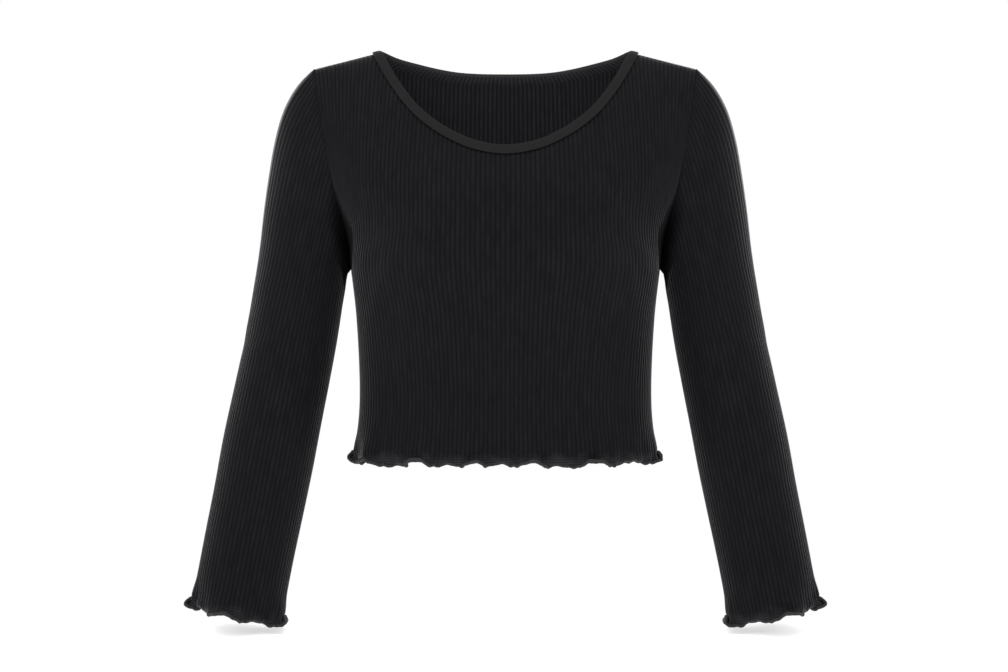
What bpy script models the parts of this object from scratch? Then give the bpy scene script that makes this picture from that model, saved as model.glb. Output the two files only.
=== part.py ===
"""Long-sleeved rib-knit crop top with a scoop neck and lettuce edges, filled out as when worn.

Five cut pieces: front, back, two sleeves and the neck binding. Each is a wall of cloth. A piece is first
laid out flat, as a grid whose x runs across the ribs and whose y runs along them, and each point of the
grid is then placed on the filled-out form. +Z is up, the front faces -Y, and the wearer's left is +X.
The origin is midway between the two neck points, at the height of the shoulder seams' inner ends.
Sizes are in millimetres until a mesh is finished.
"""

import math
from collections import namedtuple
from functools import lru_cache

import bmesh
import bpy
import numpy as np
from mathutils import Vector
from mathutils.kdtree import KDTree

MM = 0.001

# Cloth
WALL = 1.2  # rib knit, measured over its ribs
SEAM_GAP = 0.4  # between two pieces that a seam joins
BINDING_WIDTH = 9.5
BINDING_WALL = 0.9
BINDING_GAP = 0.4  # between the binding and the panel inside it

# Neck and shoulders, seen from the front
NECK_HALF_WIDTH = 124.5
NeckPoint = namedtuple("NeckPoint", "half_width front_drop back_drop")
NECKLINE = (
    NeckPoint(0.0, 99.4, 20.0),
    NeckPoint(30.0, 94.5, 19.6),
    NeckPoint(49.0, 86.3, 18.3),
    NeckPoint(67.5, 75.0, 15.5),
    NeckPoint(87.5, 57.5, 11.3),
    NeckPoint(108.5, 29.0, 6.2),
    NeckPoint(NECK_HALF_WIDTH, 0.0, 0.0),
)
SHOULDER_HALF_WIDTH = 191.0
SHOULDER_DROP = 17.5
NECK_RIDGE_BACK = 6.0  # the shoulder seam's inner end lies this far behind its outer end
CLOSED_NECK_RISE = 15.7  # the form over the neck hole, before the hole is cut
CLOSED_NECK_BACK = 12.0

# The share of a half panel's width that ends under the binding; the rest ends at the shoulder seam.
NECK_SHARE = 0.70

# Lettuce edge: the last stretch of cloth, which its overlocked edge makes too long to lie flat, so that it
# curls out and in by turns.
FRILL_SWAY = 2.0
CURL_LIMIT = 150  # degrees; beyond it the solid would touch itself
# Millimetres along the edge; degrees, positive outwards; how far the edge has been stretched downwards.
Lobe = namedtuple("Lobe", "along curl drop")
# Along the hem from the centre line, positive to the wearer's left, as the edge is followed round.
FRONT_LOBES = (
    Lobe(-195.6, 350, 14),
    Lobe(-172, -110, 15),
    Lobe(-146, 140, 15),
    Lobe(-109, -90, 17),
    Lobe(-87, 175, 15),
    Lobe(-55, -100, 16),
    Lobe(-30, 135, 16),
    Lobe(-6, -105, 15),
    Lobe(26, 145, 16),
    Lobe(52, -95, 17),
    Lobe(85, 165, 17),
    Lobe(132, -110, 15),
    Lobe(195.6, 350, 14),
)
BACK_LOBES = (
    Lobe(191.4, 350, 14),
    Lobe(168, -110, 15),
    Lobe(140, 150, 16),
    Lobe(112, -105, 16),
    Lobe(86, 170, 15),
    Lobe(52, -95, 17),
    Lobe(24, 140, 16),
    Lobe(-8, -110, 15),
    Lobe(-37, 165, 16),
    Lobe(-66, -100, 16),
    Lobe(-97, 145, 17),
    Lobe(-135, -110, 15),
    Lobe(-191.4, 350, 14),
)
# Round the cuffs from the underarm seam by the front.
LEFT_CUFF_LOBES = (
    Lobe(0, 330, 15),
    Lobe(39, -105, 15),
    Lobe(73, 145, 16),
    Lobe(103, -105, 15),
    Lobe(126, 350, 14),
    Lobe(151, -110, 15),
    Lobe(183, 150, 16),
    Lobe(216, -100, 16),
    Lobe(252, 330, 15),
)
RIGHT_CUFF_LOBES = (
    Lobe(0, 330, 15),
    Lobe(40, -100, 15),
    Lobe(71, 150, 16),
    Lobe(104, -110, 15),
    Lobe(126, 350, 14),
    Lobe(148, -105, 15),
    Lobe(176, 140, 16),
    Lobe(213, -110, 16),
    Lobe(252, 330, 15),
)

# Grid cells
NECK_COLUMNS = 10
SHOULDER_COLUMNS = 3
BODY_ROWS = 6
YOKE_ROWS = 9  # from the underarm to the shoulder, so also half the sleeve's cells around
ROWS_CLOSER_UP = 1.25  # 1 spaces them evenly
SLEEVE_ROWS = 13
HEM_SPLITS = 3  # cuts in each cell's width, for the lobes
CUFF_SPLITS = 2
FRILL_ROWS = 2

# Levels of the body: heights and half sections. A half section runs from the centre line to the side seam
# or, above the underarm, to the armhole's edge.
Level = namedtuple(
    "Level",
    "name centre_height edge_height edge_half_width front front_edge back back_edge squareness",
)
LEVELS = (
    Level("hem", -397, -397, 149.5, 90, 0, 84, 0, 2.30),
    Level("waist", -350, -350, 145.5, 87, 0, 80, 0, 2.30),
    Level("under bust", -268, -268, 148.5, 100, 0, 92, 0, 2.35),
    Level("underarm", -214, -218, 154.0, 115, 0, 101, 0, 2.40),
    Level("chest", -170, -184, 157.5, 115, 36, 106, 30, 2.35),
    Level("yoke", -128, -128, 172.0, 100, 56, 104, 46, 2.30),
)
UNDERARM_LEVEL = 3

# The bust: two soft rises of the front, at this height and this far out.
BUST_HEIGHT = -186.0
BUST_OUT = 80.0
BUST_RISE = 5.0
BUST_WIDTH = 34.0
BUST_TALL = 36.0

# Stations of the sleeve, from the armhole to the frill. Each is a ring through an outer and an inner point.
Station = namedtuple("Station", "name outer outer_height inner inner_height centre_back half_depth")
STATIONS = (
    Station("armhole", 191.0, -17.5, 154.0, -218, -5, 51),
    Station("cap", 209.0, -32.5, 156.5, -221, -4, 50),
    Station("cap", 222.0, -54, 158.0, -225, -3, 49),
    Station("cap", 231.0, -86, 159.2, -231, -2, 48),
    Station("upper arm", 236.5, -120, 160.5, -240, -1, 47),
    Station("upper arm", 241.5, -158, 163.0, -254, -1, 46),
    Station("upper arm", 246.0, -200, 166.0, -274, -1, 45),
    Station("upper arm", 252.0, -240, 170.0, -299, -2, 45),
    Station("elbow", 259.5, -285, 176.0, -332, -4, 44),
    Station("elbow", 269.3, -332, 184.0, -374, -8, 43),
    Station("forearm", 280.3, -384, 192.2, -419, -14, 41),
    Station("forearm", 288.7, -433, 200.7, -461, -20, 39),
    Station("forearm", 298.0, -483, 210.2, -507, -27, 37),
    Station("cuff", 308.2, -540, 219.7, -558, -34, 35),
)
CAP_STATIONS = 6  # over these the sleeve's rings turn from the armhole's outline into ellipses

CURVE_SAMPLES = 24


def smooth_curve(points):
    """A dense line through the points, and the index on it of each of them."""
    p = np.asarray(points, float)
    step = np.sqrt(np.linalg.norm(np.diff(p, axis=0), axis=1))[:, None]
    slope = np.diff(p, axis=0) / step
    inner = (step[1:] * slope[:-1] + step[:-1] * slope[1:]) / (step[:-1] + step[1:])
    tangent = np.vstack([slope[:1], inner, slope[-1:]])
    t = np.linspace(0, 1, CURVE_SAMPLES, endpoint=False)[:, None]
    start, start_bend = 2 * t**3 - 3 * t**2 + 1, t**3 - 2 * t**2 + t
    end, end_bend = 3 * t**2 - 2 * t**3, t**3 - t**2
    parts = [
        start * p[i] + start_bend * step[i] * tangent[i] + end * p[i + 1] + end_bend * step[i] * tangent[i + 1]
        for i in range(len(p) - 1)
    ]
    return np.vstack([*parts, p[-1:]]), [i * CURVE_SAMPLES for i in range(len(p))]


def arc_length(line):
    return np.concatenate([[0], np.cumsum(np.linalg.norm(np.diff(line, axis=0), axis=1))])


def along(line, share):
    """The point that lies at a share of the line's length."""
    length = arc_length(line)
    return np.array([np.interp(share * length[-1], length, line[:, k]) for k in range(3)])


@lru_cache(maxsize=None)
def half_section(level, facing):
    """A level's line from the centre to its edge; facing is -1 for the front and 1 for the back."""
    depth, edge_depth = (level.front, level.front_edge) if facing < 0 else (level.back, level.back_edge)
    power = level.squareness
    half_width = level.edge_half_width / (1 - (edge_depth / depth) ** power) ** (1 / power)
    last = math.asin((level.edge_half_width / half_width) ** (power / 2))
    turn = np.linspace(0, last, 120)
    x = half_width * np.sin(turn) ** (2 / power)
    y = facing * depth * np.maximum(np.cos(turn), 0) ** (2 / power)
    z = level.centre_height + (level.edge_height - level.centre_height) * (x / level.edge_half_width) ** 2
    return np.stack([x, y, z], axis=1)


def ridge(u):
    """The top of the form at a share u of the half panel: the shoulder seam, or the closed neck."""
    fall = SHOULDER_DROP / (SHOULDER_HALF_WIDTH - NECK_HALF_WIDTH)
    bound = NECK_HALF_WIDTH + BINDING_WIDTH
    if u >= NECK_SHARE:
        t = (u - NECK_SHARE) / (1 - NECK_SHARE)
        x = bound + (SHOULDER_HALF_WIDTH - bound) * t
        return (x, NECK_RIDGE_BACK * (1 - t), -fall * (x - NECK_HALF_WIDTH))
    t = u / NECK_SHARE
    back = CLOSED_NECK_BACK + (NECK_RIDGE_BACK - CLOSED_NECK_BACK) * t**2
    return (bound * t, back, CLOSED_NECK_RISE * (1 - t**2) - fall * BINDING_WIDTH)


@lru_cache(maxsize=None)
def neck_outline(facing, lowered):
    """The neckline from the front, or the lower edge of its binding: half widths and the drops at them."""
    rows = [(row.half_width, row.front_drop, row.back_drop) for row in NECKLINE]
    mirrored = (-rows[1][0], *rows[1][1:])  # so that the line is level at the centre
    line, marks = smooth_curve([mirrored, *rows])
    line = line[marks[1] :]
    edge = np.stack([line[:, 0], line[:, 1] if facing < 0 else line[:, 2]], axis=1)
    if lowered:
        way = np.gradient(edge, axis=0)
        edge = edge + BINDING_WIDTH * np.stack([-way[:, 1], way[:, 0]], axis=1) / np.linalg.norm(
            way, axis=1, keepdims=True
        )
        edge[0, 0] = 0.0
        fall = SHOULDER_DROP / (SHOULDER_HALF_WIDTH - NECK_HALF_WIDTH)
        edge = np.vstack([edge[:-1], [NECK_HALF_WIDTH + BINDING_WIDTH, fall * BINDING_WIDTH]])
    return edge


def cut_at_neck(line, facing, lowered):
    """The line up to where it meets the neckline or its binding's lower edge."""
    edge = neck_outline(facing, lowered)
    above = line[:, 2] + np.interp(np.abs(line[:, 0]), edge[:, 0], edge[:, 1])
    beyond = np.flatnonzero((above > 0) & (np.abs(line[:, 0]) < edge[-1, 0]))
    if not len(beyond):
        return line
    i = beyond[0]
    share = above[i - 1] / (above[i - 1] - above[i])
    return np.vstack([line[:i], line[i - 1] + share * (line[i] - line[i - 1])])


def section_points(u, facing):
    """Where the rib at a share u of the half panel crosses each level. Above the underarm the ribs keep
    their distance at the centre and crowd together towards the armhole."""
    sections = [half_section(level, facing) for level in LEVELS]
    lengths = [arc_length(section)[-1] for section in sections]
    points = []
    for index, section in enumerate(sections):
        crowd = max(0.0, lengths[UNDERARM_LEVEL] / lengths[index] - 1) if index > UNDERARM_LEVEL else 0.0
        points.append(along(section, u * (1 + crowd - crowd * u**2)))
    return points


@lru_cache(maxsize=None)
def rib_path(u, facing):
    """A rib's path at a share u of the half panel: from hem to underarm, and from there to the ridge."""
    front, back = (section_points(u, side) for side in (-1, 1))
    own, other = (front, back) if facing < 0 else (back, front)
    line, marks = smooth_curve([*own, ridge(u), *other[::-1]])
    underarm, top = marks[UNDERARM_LEVEL], marks[len(LEVELS)]
    # Towards the side seam the body's part straightens, as front and back meet there.
    plain, _ = smooth_curve(own[: UNDERARM_LEVEL + 1])
    body = line[: underarm + 1] + (plain - line[: underarm + 1]) * max(0.0, (u - 0.75) / 0.25) ** 2
    return body, line[underarm : top + 1]


@lru_cache(maxsize=None)
def column(u, facing):
    """The rib's path as far as the panel's main part goes: to the binding's lower edge or the shoulder seam."""
    body, yoke = rib_path(u, facing)
    beside_neck = u > NECK_SHARE - 1e-6
    return body, yoke if beside_neck else cut_at_neck(yoke, facing, True)


@lru_cache(maxsize=None)
def neck_edges(facing):
    """Even shares from the centre to NECK_SHARE, the binding's lower edge there, and the neckline beside it."""
    shares = np.linspace(0, NECK_SHARE, 60)
    lower = np.array([column(u, facing)[1][-1] for u in shares])
    reach = NECK_HALF_WIDTH / (NECK_HALF_WIDTH + BINDING_WIDTH)
    paths = [rib_path(u, facing)[1] for u in shares[:-1] * reach]
    corner = rib_path(NECK_SHARE * reach, facing)[1][-1]
    neckline = np.array([*(cut_at_neck(path, facing, False)[-1] for path in paths), corner])
    return shares, lower, neckline


def neckline_point(u, facing):
    """The neckline's point beside the top of the column at share u."""
    shares, lower, neckline = neck_edges(facing)
    length = arc_length(lower)
    return along(neckline, np.interp(u, shares, length) / length[-1])


def column_shares(facing):
    """The columns' shares of the half panel. Those under the neck lie between even steps across the body and
    even steps along the binding."""
    fine, lower, _ = neck_edges(facing)
    length = arc_length(lower)
    even = np.linspace(0, 1, NECK_COLUMNS + 1)
    under_neck = (even * NECK_SHARE + np.interp(even * length[-1], length, fine)) / 2
    beside = np.linspace(NECK_SHARE, 1, SHOULDER_COLUMNS + 1)[1:]
    half = [*under_neck, *beside]
    return [-u for u in half[:0:-1]] + half


def bust_rise(point, u, facing):
    """How far the bust pushes the front out at a point in the column at share u: nothing at the panel's edge."""
    if facing > 0:
        return 0.0
    out = ((abs(point[0]) - BUST_OUT) / BUST_WIDTH) ** 2
    up = ((point[2] - BUST_HEIGHT) / BUST_TALL) ** 2
    return BUST_RISE * math.exp(-(out + up) / 2) * (1 - u**4)


def body_point(across, up, facing):
    """A point of a panel. across runs from -1 to 1 between its side seams; up is 0 at the frill's start, 1 at
    the underarm, 2 at the shoulder seam or the binding's lower edge, and 3 at the neckline."""
    u = abs(across)
    body, yoke = column(u, facing)
    point = along(body, up) if up <= 1 else along(yoke, min(up, 2) - 1)
    point = point - np.array([0, bust_rise(point, u, facing), 0])
    if up > 2:
        point = point + (neckline_point(u, facing) - point) * (up - 2)
    return point * np.array([math.copysign(1, across), 1, 1])


def armhole(share):
    """The armhole's outline: 0 at the underarm, 0.5 at the shoulder seam, and round the back to 1."""
    if share <= 0.5:
        return body_point(1, 1 + 2 * share, -1)
    return body_point(1, 1 + 2 * (1 - share), 1)


@lru_cache(maxsize=None)
def station_rings():
    """The stations' sizes as one smooth row of numbers: outer point, inner point, depth."""
    sizes = np.array([station[1:] for station in STATIONS], float)
    outer, _ = smooth_curve(np.column_stack([sizes[:, 0], sizes[:, 4], sizes[:, 1]]))
    inner, _ = smooth_curve(np.column_stack([sizes[:, 2], sizes[:, 4], sizes[:, 3]]))
    depth = np.interp(np.linspace(0, len(sizes) - 1, len(outer)), range(len(sizes)), sizes[:, 5])
    return outer, inner, depth


def ellipse_point(share, station):
    """A point of the sleeve's plain ring at a station, which may lie between two of them."""
    outer, inner, depth = station_rings()
    at = station * CURVE_SAMPLES
    o, i = (np.array([np.interp(at, range(len(line)), line[:, k]) for k in range(3)]) for line in (outer, inner))
    turn = 2 * math.pi * share
    half_depth = np.interp(at, range(len(depth)), depth)
    return (o + i) / 2 + (i - o) / 2 * math.cos(turn) - np.array([0, half_depth * math.sin(turn), 0])


def sleeve_point(share, station):
    """A point of the left sleeve. share runs round it from the underarm by the front."""
    point = ellipse_point(share, station)
    keep = max(0.0, 1 - station / CAP_STATIONS) ** 2
    if keep > 0:
        point = point + keep * (armhole(share) - ellipse_point(share, 0))
    return point


@lru_cache(maxsize=None)
def lobe_phases(lobes):
    """Distances along the edge, rising, and the place among the lobes that each falls on."""
    distances = [abs(lobe.along - lobes[0].along) for lobe in lobes]
    line, _ = smooth_curve([(distance, 0, index) for index, distance in enumerate(distances)])
    return distances, line


def edge_curl(share, lobes):
    """At a share of the way along the lobes: the curl in radians, the sway along the edge, and the drop."""
    distances, line = lobe_phases(lobes)
    phase = math.pi * np.interp(share * distances[-1], line[:, 0], line[:, 2])
    size = np.interp(share * distances[-1], distances, [min(abs(lobe.curl), CURL_LIMIT) for lobe in lobes])
    turn = math.radians(math.copysign(abs(math.cos(phase)) ** 1.4, math.cos(phase)) * size)
    drop = np.interp(share * distances[-1], distances, [lobe.drop for lobe in lobes])
    # Between two lobes the edge is pulled sideways, which shortens it.
    return turn, FRILL_SWAY * math.sin(2 * phase), drop * (1 - 0.08 * math.exp(-((turn / 0.8) ** 2)))


def frilled(edge_point, place, depth, curl, sway, drop):
    """A point of a lettuce edge. edge_point gives the plain edge and the point a little above it, for a place
    round it; depth is 0 at the frill's start and 1 at its edge."""
    start, above = edge_point(place)
    before, _ = edge_point((place - 0.002) % 1)
    after, _ = edge_point((place + 0.002) % 1)
    down = (start - above) / np.linalg.norm(start - above)
    way = (after - before) / np.linalg.norm(after - before)
    out = np.cross(down, way)
    steps = np.linspace(0, depth, 30)
    angle = curl * (steps**1.5 - 1.2 * steps * (1 - steps))
    length = drop * depth
    return (
        start
        + down * length * np.cos(angle).mean()
        + out * length * np.sin(angle).mean()
        + way * sway * depth**1.5
    )


def hem_edge(place):
    """The body's plain edge round all of it: front from the wearer's right to the left, then the back."""
    facing, across = (-1, 4 * place - 1) if place <= 0.5 else (1, 3 - 4 * place)
    return body_point(across, 0, facing), body_point(across, 0.1, facing)


def cuff_edge(place):
    return sleeve_point(place, len(STATIONS) - 1), sleeve_point(place, len(STATIONS) - 1.5)


def panel_place(across, up, facing):
    if up >= 0:
        return body_point(across, up, facing)
    place = (across + 1) / 4 if facing < 0 else (3 - across) / 4
    share, lobes = (2 * place, FRONT_LOBES) if facing < 0 else (2 * place - 1, BACK_LOBES)
    return frilled(hem_edge, place % 1, -up, *edge_curl(share, lobes))


def sleeve_place(share, up, lobes):
    if up >= 0:
        return sleeve_point(share % 1, (len(STATIONS) - 1) * (1 - up))
    return frilled(cuff_edge, share % 1, -up, *edge_curl(share, lobes))


def flat_piece(columns, rows, splits, neck):
    """A flat grid with its lines where columns and rows say, a finer frill from y = 0 down to -1, and a strip
    from y = 2 to 3 along the part of the top edge that lies within neck of the centre."""
    bm = bmesh.new()
    bmesh.ops.create_grid(bm, x_segments=len(columns) - 1, y_segments=len(rows) - 1, size=0.5)
    for vert in bm.verts:
        across = round((vert.co.x + 0.5) * (len(columns) - 1))
        up = round((vert.co.y + 0.5) * (len(rows) - 1))
        vert.co = (columns[across], rows[up], 0)
    bottom = [edge for edge in bm.edges if all(vert.co.y == 0 for vert in edge.verts)]
    bmesh.ops.subdivide_edges(bm, edges=bottom, cuts=splits)
    for row in range(FRILL_ROWS):
        lowest = min(vert.co.y for vert in bm.verts)
        bottom = [edge for edge in bm.edges if all(vert.co.y == lowest for vert in edge.verts)]
        grown = bmesh.ops.extrude_edge_only(bm, edges=bottom)["geom"]
        for vert in grown:
            if isinstance(vert, bmesh.types.BMVert):
                vert.co.y = -(row + 1) / FRILL_ROWS
    bound = [edge for edge in bm.edges if all(v.co.y == 2 and abs(v.co.x) < neck + 1e-6 for v in edge.verts)]
    for vert in bmesh.ops.extrude_edge_only(bm, edges=bound)["geom"]:
        if isinstance(vert, bmesh.types.BMVert):
            vert.co.y = 3
    return bm


def yoke_rows():
    """Rows from the underarm at 0 to the shoulder at 1, closer where the shoulder rounds over."""
    return [1 - (1 - i / YOKE_ROWS) ** ROWS_CLOSER_UP for i in range(YOKE_ROWS + 1)]


def panel(facing):
    rows = [i / BODY_ROWS for i in range(BODY_ROWS)] + [1 + up for up in yoke_rows()]
    bm = flat_piece(column_shares(facing), rows, HEM_SPLITS, NECK_SHARE)
    for vert in bm.verts:
        vert.co = panel_place(vert.co.x, vert.co.y, facing)
    bmesh.ops.triangulate(bm, faces=bm.faces)
    return bm


def sleeve(side):
    """The sleeve on the wearer's left for side 1, and its mirror image, but for its lobes, for -1."""
    rows = [i / SLEEVE_ROWS for i in range(SLEEVE_ROWS + 1)]
    front_half = [up / 2 for up in yoke_rows()]
    around = front_half + [1 - share for share in front_half[-2::-1]]
    bm = flat_piece(around, rows, CUFF_SPLITS, 0)
    for vert in bm.verts:
        x, y, z = sleeve_place(vert.co.x, vert.co.y, LEFT_CUFF_LOBES if side > 0 else RIGHT_CUFF_LOBES)
        vert.co = (side * x, y, z)
    bmesh.ops.remove_doubles(bm, verts=bm.verts, dist=0.001)
    bmesh.ops.triangulate(bm, faces=bm.faces)
    return bm


def face_outwards(bm, inside):
    """Turns a sheet's faces so that most of them look away from the nearest of the inside points."""
    bmesh.ops.recalc_face_normals(bm, faces=bm.faces)
    looking = 0.0
    for face in bm.faces:
        centre = face.calc_center_median()
        middle = min(inside, key=lambda point: (centre - Vector(point)).length)
        looking += face.normal.dot((centre - Vector(middle)).normalized()) * face.calc_area()
    if looking < 0:
        bmesh.ops.reverse_faces(bm, faces=bm.faces)


def joined(sheets):
    """All sheets as one, welded at their seams: the cloth's normals there serve both pieces."""
    bm = bmesh.new()
    for sheet in sheets:
        mesh = bpy.data.meshes.new("sheet")
        sheet.to_mesh(mesh)
        bm.from_mesh(mesh)
        bpy.data.meshes.remove(mesh)
    bmesh.ops.remove_doubles(bm, verts=bm.verts, dist=0.01)
    bm.normal_update()
    tree = KDTree(len(bm.verts))
    for i, vert in enumerate(bm.verts):
        tree.insert(vert.co, i)
    tree.balance()
    bm.verts.ensure_lookup_table()
    return bm, tree


def close_outwards(bm):
    """Turns the faces of a closed body to look out of its material."""
    bmesh.ops.recalc_face_normals(bm, faces=bm.faces)
    if bm.calc_volume(signed=True) < 0:
        bmesh.ops.reverse_faces(bm, faces=bm.faces)


def cloth_wall(sheet, whole, tree):
    """Pulls the sheet's edges back by half a seam's gap and gives it its thickness."""
    first = sheet.verts.layers.int.new("first")
    normals = []
    places = []
    for i, vert in enumerate(sheet.verts):
        vert[first] = i
        normal = whole.verts[tree.find(vert.co)[1]].normal.copy()
        place = vert.co.copy()
        if vert.is_boundary:
            inwards = sum((face.calc_center_median() for face in vert.link_faces), Vector()) / len(vert.link_faces)
            inwards -= vert.co
            inwards -= normal * inwards.dot(normal)
            corner = math.sqrt(2) if len(vert.link_faces) == 1 else 1.0
            place += inwards.normalized() * SEAM_GAP / 2 * corner
        normals.append(normal)
        places.append(place)
    grown = bmesh.ops.extrude_face_region(sheet, geom=list(sheet.faces), use_keep_orig=True)["geom"]
    outer = {item for item in grown if isinstance(item, bmesh.types.BMVert)}
    for vert in sheet.verts:
        side = 0.5 if vert in outer else -0.5
        vert.co = places[vert[first]] + normals[vert[first]] * WALL * side
    close_outwards(sheet)


def binding(whole, tree):
    """A strip folded over the panels' neck edge, made from their own points moved out from the cloth."""
    front = [share for share in column_shares(-1) if abs(share) < NECK_SHARE + 1e-6]
    back = [share for share in column_shares(1)[::-1] if abs(share) < NECK_SHARE - 1e-6]
    near = WALL / 2 + BINDING_GAP
    far = near + BINDING_WALL
    bm = bmesh.new()
    rings = []
    for share, facing in [(u, -1) for u in front] + [(u, 1) for u in back]:
        low, top = (whole.verts[tree.find(body_point(share, up, facing))[1]] for up in (2, 3))
        up = (top.co - low.co).normalized()
        fold = top.co + up * (BINDING_GAP + BINDING_WALL)
        section = [
            low.co + low.normal * near,
            low.co + low.normal * far,
            top.co + top.normal * far,
            fold + top.normal * far * 0.5,
            fold - top.normal * far * 0.5,
            top.co - top.normal * far,
            low.co - low.normal * far,
            low.co - low.normal * near,
            top.co - top.normal * near + up * BINDING_GAP,
            top.co + top.normal * near + up * BINDING_GAP,
        ]
        rings.append([bm.verts.new(corner) for corner in section])
    for ring, following in zip(rings, rings[1:] + rings[:1]):
        for k in range(len(ring)):
            nearby = (k + 1) % len(ring)
            bm.faces.new((ring[k], ring[nearby], following[nearby], following[k]))
    close_outwards(bm)
    return bm


def knit_material(name, colour, roughness):
    material = bpy.data.materials.new(name)
    material.use_nodes = True
    shader = material.node_tree.nodes["Principled BSDF"]
    shader.inputs["Base Color"].default_value = (*colour, 1)
    shader.inputs["Roughness"].default_value = roughness
    shader.inputs["Metallic"].default_value = 0.0
    return material


def finish(bm, name, material):
    bmesh.ops.triangulate(bm, faces=bm.faces)
    for face in bm.faces:
        face.smooth = True
    for vert in bm.verts:
        vert.co *= MM
    mesh = bpy.data.meshes.new(name)
    bm.to_mesh(mesh)
    bm.free()
    mesh.materials.append(material)
    bpy.context.scene.collection.objects.link(bpy.data.objects.new(name, mesh))


def main():
    for obj in list(bpy.data.objects):
        bpy.data.objects.remove(obj)
    sheets = {
        "front": panel(-1),
        "back": panel(1),
        "sleeve_left": sleeve(1),
        "sleeve_right": sleeve(-1),
    }
    spine = [(0, 0, z) for z in range(-400, 0, 20)]
    arm = [tuple((ellipse_point(0, s) + ellipse_point(0.5, s)) / 2) for s in range(2, len(STATIONS))]
    face_outwards(sheets["front"], spine)
    face_outwards(sheets["back"], spine)
    face_outwards(sheets["sleeve_left"], arm)
    face_outwards(sheets["sleeve_right"], [(-x, y, z) for x, y, z in arm])
    whole, tree = joined(sheets.values())
    rib = knit_material("black rib knit", (0.012, 0.012, 0.013), 0.9)
    plain = knit_material("black binding", (0.017, 0.017, 0.018), 0.85)
    finish(binding(whole, tree), "neck_binding", plain)
    for name, sheet in sheets.items():
        cloth_wall(sheet, whole, tree)
        finish(sheet, name, rib)
    whole.free()


main()
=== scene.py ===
"""A long-sleeved crop top in black rib knit, filled out as when worn, in the order it is sewn together."""

import math
from collections import namedtuple

import bmesh
import bpy
import numpy as np
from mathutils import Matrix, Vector
from mathutils.bvhtree import BVHTree


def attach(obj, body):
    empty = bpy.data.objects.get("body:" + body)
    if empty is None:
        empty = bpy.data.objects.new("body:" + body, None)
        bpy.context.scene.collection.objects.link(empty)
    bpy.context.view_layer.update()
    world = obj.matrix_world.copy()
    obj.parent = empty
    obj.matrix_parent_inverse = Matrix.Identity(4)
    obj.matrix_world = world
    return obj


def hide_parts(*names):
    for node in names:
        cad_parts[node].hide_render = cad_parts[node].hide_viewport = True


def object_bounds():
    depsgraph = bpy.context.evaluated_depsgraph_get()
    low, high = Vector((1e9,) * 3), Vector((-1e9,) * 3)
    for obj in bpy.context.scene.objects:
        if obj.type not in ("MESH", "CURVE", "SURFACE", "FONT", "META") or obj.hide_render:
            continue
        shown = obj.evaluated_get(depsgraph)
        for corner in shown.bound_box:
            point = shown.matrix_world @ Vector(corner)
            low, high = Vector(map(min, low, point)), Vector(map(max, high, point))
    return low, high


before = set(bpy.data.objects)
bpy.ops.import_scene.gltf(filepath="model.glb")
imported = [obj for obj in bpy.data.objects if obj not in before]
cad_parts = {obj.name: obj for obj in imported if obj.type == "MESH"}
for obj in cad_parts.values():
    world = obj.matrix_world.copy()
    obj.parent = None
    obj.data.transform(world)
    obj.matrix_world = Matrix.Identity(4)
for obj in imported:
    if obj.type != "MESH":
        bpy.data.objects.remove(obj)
cad_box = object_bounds()


# ---------------------------- camera
# A level camera straight in front of the garment, far enough off to flatten it, on a long lens. It is
# aimed at the middle of the space that the garment fills.
CAMERA_AWAY = 3.2
CAMERA_ACROSS = -0.0015
CAMERA_HEIGHT = -0.285
FRAME_WIDTH = 1.008  # of the plane through the garment's middle

camera_data = bpy.data.cameras.new("camera")
camera_data.sensor_width = 36.0
camera_data.lens = camera_data.sensor_width * CAMERA_AWAY / FRAME_WIDTH
camera = bpy.data.objects.new("camera", camera_data)
camera.location = (CAMERA_ACROSS, -CAMERA_AWAY, CAMERA_HEIGHT)
camera.rotation_euler = (math.radians(90), 0, 0)
bpy.context.scene.collection.objects.link(camera)
bpy.context.scene.camera = camera


# ---------------------------- front panel
# The front is cut in one piece from cotton rib knit with its ribs running up the body, and is shaped by
# the wearer. Its lower edge is overlocked while pulled long, which leaves it wavy: a lettuce edge.
MM = 0.001  # sizes are in millimetres until a mesh is laid out

NECK_HALF_WIDTH = 124.5
SHOULDER_HALF_WIDTH = 191.0
SHOULDER_DROP = 17.5
SHOULDER_FALL = SHOULDER_DROP / (SHOULDER_HALF_WIDTH - NECK_HALF_WIDTH)
NECK_RIDGE_BACK = 6.0
CLOSED_NECK_RISE = 15.7  # of the form over the neck hole, before the hole is cut
CLOSED_NECK_BACK = 12.0
BINDING_WIDTH = 9.5
NECK_SHARE = 0.70  # of a half panel's ribs end under the binding, the rest at the shoulder seam

NeckPoint = namedtuple("NeckPoint", "half_width front_drop back_drop")
NECKLINE = (
    NeckPoint(0.0, 99.4, 20.0),
    NeckPoint(30.0, 94.5, 19.6),
    NeckPoint(49.0, 86.3, 18.3),
    NeckPoint(67.5, 75.0, 15.5),
    NeckPoint(87.5, 57.5, 11.3),
    NeckPoint(108.5, 29.0, 6.2),
    NeckPoint(NECK_HALF_WIDTH, 0.0, 0.0),
)

Level = namedtuple(
    "Level",
    "name centre_height edge_height edge_half_width front front_edge back back_edge squareness",
)
LEVELS = (
    Level("hem", -397, -397, 149.5, 90, 0, 84, 0, 2.30),
    Level("waist", -350, -350, 145.5, 87, 0, 80, 0, 2.30),
    Level("under bust", -268, -268, 148.5, 100, 0, 92, 0, 2.35),
    Level("underarm", -214, -218, 154.0, 115, 0, 101, 0, 2.40),
    Level("chest", -170, -184, 157.5, 115, 36, 106, 30, 2.35),
    Level("yoke", -128, -128, 172.0, 100, 56, 104, 46, 2.30),
)
UNDERARM_LEVEL = 3

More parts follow.
